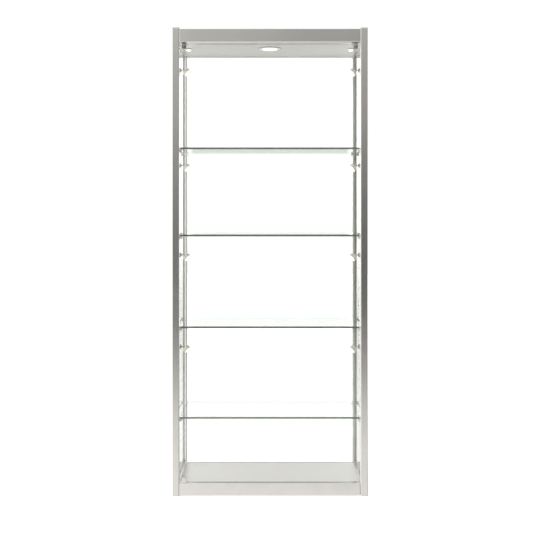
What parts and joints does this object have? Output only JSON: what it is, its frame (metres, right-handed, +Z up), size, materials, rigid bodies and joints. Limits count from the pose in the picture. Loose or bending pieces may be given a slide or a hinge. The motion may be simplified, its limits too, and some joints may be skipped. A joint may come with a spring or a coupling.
{
  "type": "display case",
  "caption": "Tall glass display case with a satin aluminium frame, glass shelves, pivoting glass door, ceiling lights and swivelling spotlights.",
  "frame": {"origin": "on the floor, under the middle of the case's footprint", "axes": "+Z up, +X to the right seen from the door side, the door faces -Y"},
  "size_m": [0.8, 0.37, 1.914],
  "materials": {
    "satin_aluminium": "satin anodised, fine drawing lines",
    "light_panel": "pale grey lacquer, semi-gloss",
    "clear_glass": "clear toughened glass, polished edges",
    "cap_plastic": "moulded grey",
    "dark_nickel": "dark nickel plate",
    "support_steel": "zinc plated",
    "bush_plastic": "moulded black",
    "lamp_trim": "satin nickel ring",
    "lamp_lens": "frosted lens, lit warm white",
    "lamp_enamel": "cream enamel",
    "driver_case": "moulded white",
    "lead_insulation": "clear flat sheath over two fine conductors"
  },
  "bodies": {
    "frame": {"cap_front_left": "cap_plastic", "cap_front_right": "cap_plastic", "cap_rear_left": "cap_plastic", "cap_rear_right": "cap_plastic", "ceiling_panel": "light_panel", "corner_light_left": "lamp_trim", "corner_light_right": "lamp_trim", "deck_panel": "light_panel", "downlight_housing": "lamp_trim", "downlight_lens": "lamp_lens", "header_fascia": "satin_aluminium", "header_rear_rail": "satin_aluminium", "header_side_left": "satin_aluminium", "header_side_right": "satin_aluminium", "lighting_driver": "driver_case", "magnet_catch": "dark_nickel", "pivot_bush_bottom": "bush_plastic", "pivot_bush_top": "bush_plastic", "plinth_front_rail": "satin_aluminium", "plinth_rear_rail": "satin_aluminium", "plinth_side_left": "satin_aluminium", "plinth_side_right": "satin_aluminium", "rear_pane": "clear_glass", "shelf_1": "clear_glass", "shelf_2": "clear_glass", "shelf_3": "clear_glass", "shelf_4": "clear_glass", "shelf_strip_front_left": "support_steel", "shelf_strip_front_right": "support_steel", "shelf_strip_rear_left": "support_steel", "shelf_strip_rear_right": "support_steel", "side_pane_left": "clear_glass", "side_pane_right": "clear_glass", "spot_lead_left": "lead_insulation", "spot_lead_right": "lead_insulation", "top_cover": "satin_aluminium", "upright_front_left": "satin_aluminium", "upright_front_right": "satin_aluminium", "upright_rear_left": "satin_aluminium", "upright_rear_right": "satin_aluminium"},
    "door": {"door_pane": "clear_glass", "door_clamp_top": "dark_nickel", "door_clamp_bottom": "support_steel", "door_strike": "support_steel"},
    "spot_left_1_arm": {"spot_left_1_stem": "dark_nickel"},
    "spot_left_1_lamp": {"spot_left_1_head": "lamp_enamel"},
    "spot_left_2_arm": {"spot_left_2_stem": "dark_nickel"},
    "spot_left_2_lamp": {"spot_left_2_head": "lamp_enamel"},
    "spot_left_3_arm": {"spot_left_3_stem": "dark_nickel"},
    "spot_left_3_lamp": {"spot_left_3_head": "lamp_enamel"},
    "spot_left_4_arm": {"spot_left_4_stem": "dark_nickel"},
    "spot_left_4_lamp": {"spot_left_4_head": "lamp_enamel"},
    "spot_right_1_arm": {"spot_right_1_stem": "dark_nickel"},
    "spot_right_1_lamp": {"spot_right_1_head": "lamp_enamel"},
    "spot_right_2_arm": {"spot_right_2_stem": "dark_nickel"},
    "spot_right_2_lamp": {"spot_right_2_head": "lamp_enamel"},
    "spot_right_3_arm": {"spot_right_3_stem": "dark_nickel"},
    "spot_right_3_lamp": {"spot_right_3_head": "lamp_enamel"},
    "spot_right_4_arm": {"spot_right_4_stem": "dark_nickel"},
    "spot_right_4_lamp": {"spot_right_4_head": "lamp_enamel"}
  },
  "joints": [
    {"name": "door_swing", "type": "hinge", "parent": "frame", "child": "door", "pos_m": [-0.351, -0.1765, 0.95], "axis": [0, 0, -1], "range_deg": [0, 110]},
    {"name": "spot_left_1_swivel", "type": "hinge", "parent": "frame", "child": "spot_left_1_arm", "pos_m": [-0.379, -0.04, 1.761], "axis": [1, 0, 0], "range_deg": [-65, 115]},
    {"name": "spot_left_1_tilt", "type": "hinge", "parent": "spot_left_1_arm", "child": "spot_left_1_lamp", "pos_m": [-0.364, -0.04, 1.761], "axis": [0, 0.9063, -0.4226], "range_deg": [-88, 25]},
    {"name": "spot_left_2_swivel", "type": "hinge", "parent": "frame", "child": "spot_left_2_arm", "pos_m": [-0.379, -0.04, 1.357], "axis": [1, 0, 0], "range_deg": [-65, 115]},
    {"name": "spot_left_2_tilt", "type": "hinge", "parent": "spot_left_2_arm", "child": "spot_left_2_lamp", "pos_m": [-0.364, -0.04, 1.357], "axis": [0, 0.9063, -0.4226], "range_deg": [-88, 25]},
    {"name": "spot_left_3_swivel", "type": "hinge", "parent": "frame", "child": "spot_left_3_arm", "pos_m": [-0.379, -0.04, 0.978], "axis": [1, 0, 0], "range_deg": [-65, 115]},
    {"name": "spot_left_3_tilt", "type": "hinge", "parent": "spot_left_3_arm", "child": "spot_left_3_lamp", "pos_m": [-0.364, -0.04, 0.978], "axis": [0, 0.9063, -0.4226], "range_deg": [-88, 25]},
    {"name": "spot_left_4_swivel", "type": "hinge", "parent": "frame", "child": "spot_left_4_arm", "pos_m": [-0.379, -0.04, 0.589], "axis": [1, 0, 0], "range_deg": [-65, 115]},
    {"name": "spot_left_4_tilt", "type": "hinge", "parent": "spot_left_4_arm", "child": "spot_left_4_lamp", "pos_m": [-0.364, -0.04, 0.589], "axis": [0, 0.9063, -0.4226], "range_deg": [-88, 25]},
    {"name": "spot_right_1_swivel", "type": "hinge", "parent": "frame", "child": "spot_right_1_arm", "pos_m": [0.379, -0.04, 1.761], "axis": [-1, 0, 0], "range_deg": [-115, 65]},
    {"name": "spot_right_1_tilt", "type": "hinge", "parent": "spot_right_1_arm", "child": "spot_right_1_lamp", "pos_m": [0.364, -0.04, 1.761], "axis": [0, -0.9063, 0.4226], "range_deg": [-88, 25]},
    {"name": "spot_right_2_swivel", "type": "hinge", "parent": "frame", "child": "spot_right_2_arm", "pos_m": [0.379, -0.04, 1.357], "axis": [-1, 0, 0], "range_deg": [-115, 65]},
    {"name": "spot_right_2_tilt", "type": "hinge", "parent": "spot_right_2_arm", "child": "spot_right_2_lamp", "pos_m": [0.364, -0.04, 1.357], "axis": [0, -0.9063, 0.4226], "range_deg": [-88, 25]},
    {"name": "spot_right_3_swivel", "type": "hinge", "parent": "frame", "child": "spot_right_3_arm", "pos_m": [0.379, -0.04, 0.978], "axis": [-1, 0, 0], "range_deg": [-115, 65]},
    {"name": "spot_right_3_tilt", "type": "hinge", "parent": "spot_right_3_arm", "child": "spot_right_3_lamp", "pos_m": [0.364, -0.04, 0.978], "axis": [0, -0.9063, 0.4226], "range_deg": [-88, 25]},
    {"name": "spot_right_4_swivel", "type": "hinge", "parent": "frame", "child": "spot_right_4_arm", "pos_m": [0.379, -0.04, 0.589], "axis": [-1, 0, 0], "range_deg": [-115, 65]},
    {"name": "spot_right_4_tilt", "type": "hinge", "parent": "spot_right_4_arm", "child": "spot_right_4_lamp", "pos_m": [0.364, -0.04, 0.589], "axis": [0, -0.9063, 0.4226], "range_deg": [-88, 25]}
  ]
}
